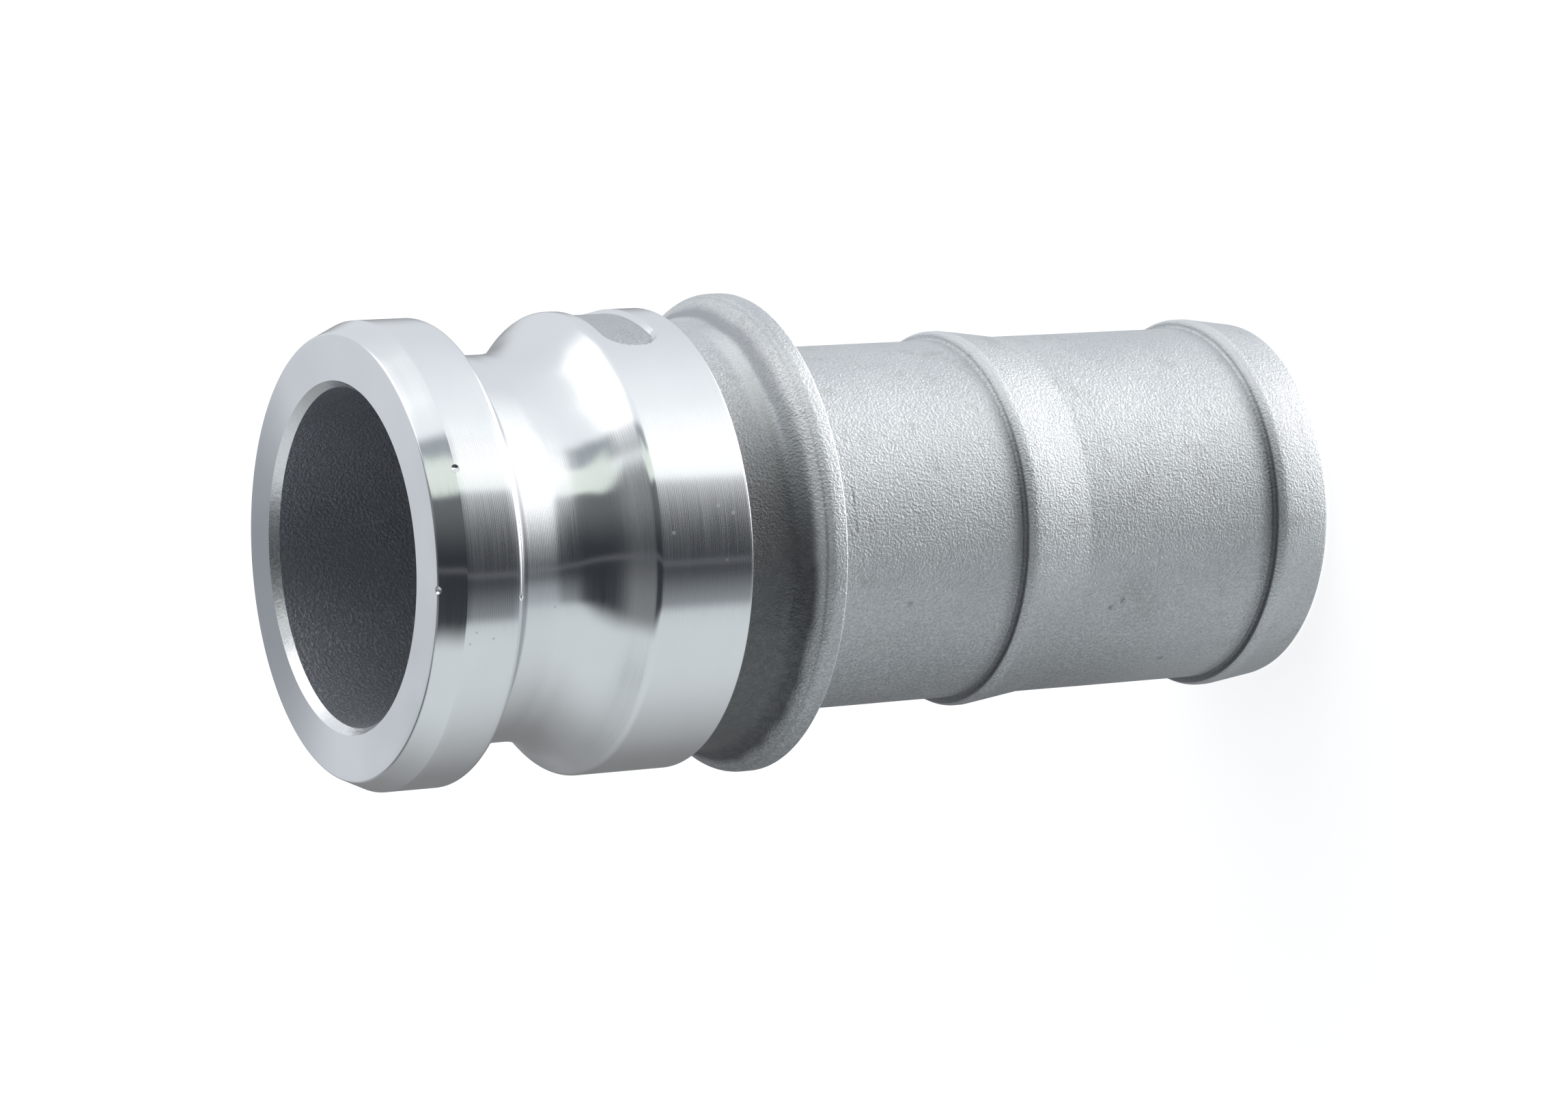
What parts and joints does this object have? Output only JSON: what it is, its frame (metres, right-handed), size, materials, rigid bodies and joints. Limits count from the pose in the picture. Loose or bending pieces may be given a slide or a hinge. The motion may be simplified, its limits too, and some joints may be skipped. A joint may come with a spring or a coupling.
{
  "type": "cam and groove hose shank adapter",
  "caption": "Aluminium male half of a cam and groove coupling: a turned, grooved spigot on a flanged hose shank with barbs and a straight waterway through it.",
  "frame": {"origin": "centre of the hose end face, on which the part stands", "axes": "+Z along the axis from the hose end to the nose face, -Y through the middle of the marking recess on the body land"},
  "size_m": [0.0661, 0.066, 0.1412],
  "materials": {
    "aluminium": "turned bright at the spigot, as cast and matte from the neck to the hose end"
  },
  "bodies": {
    "root": {"adapter": "aluminium"}
  },
  "joints": []
}
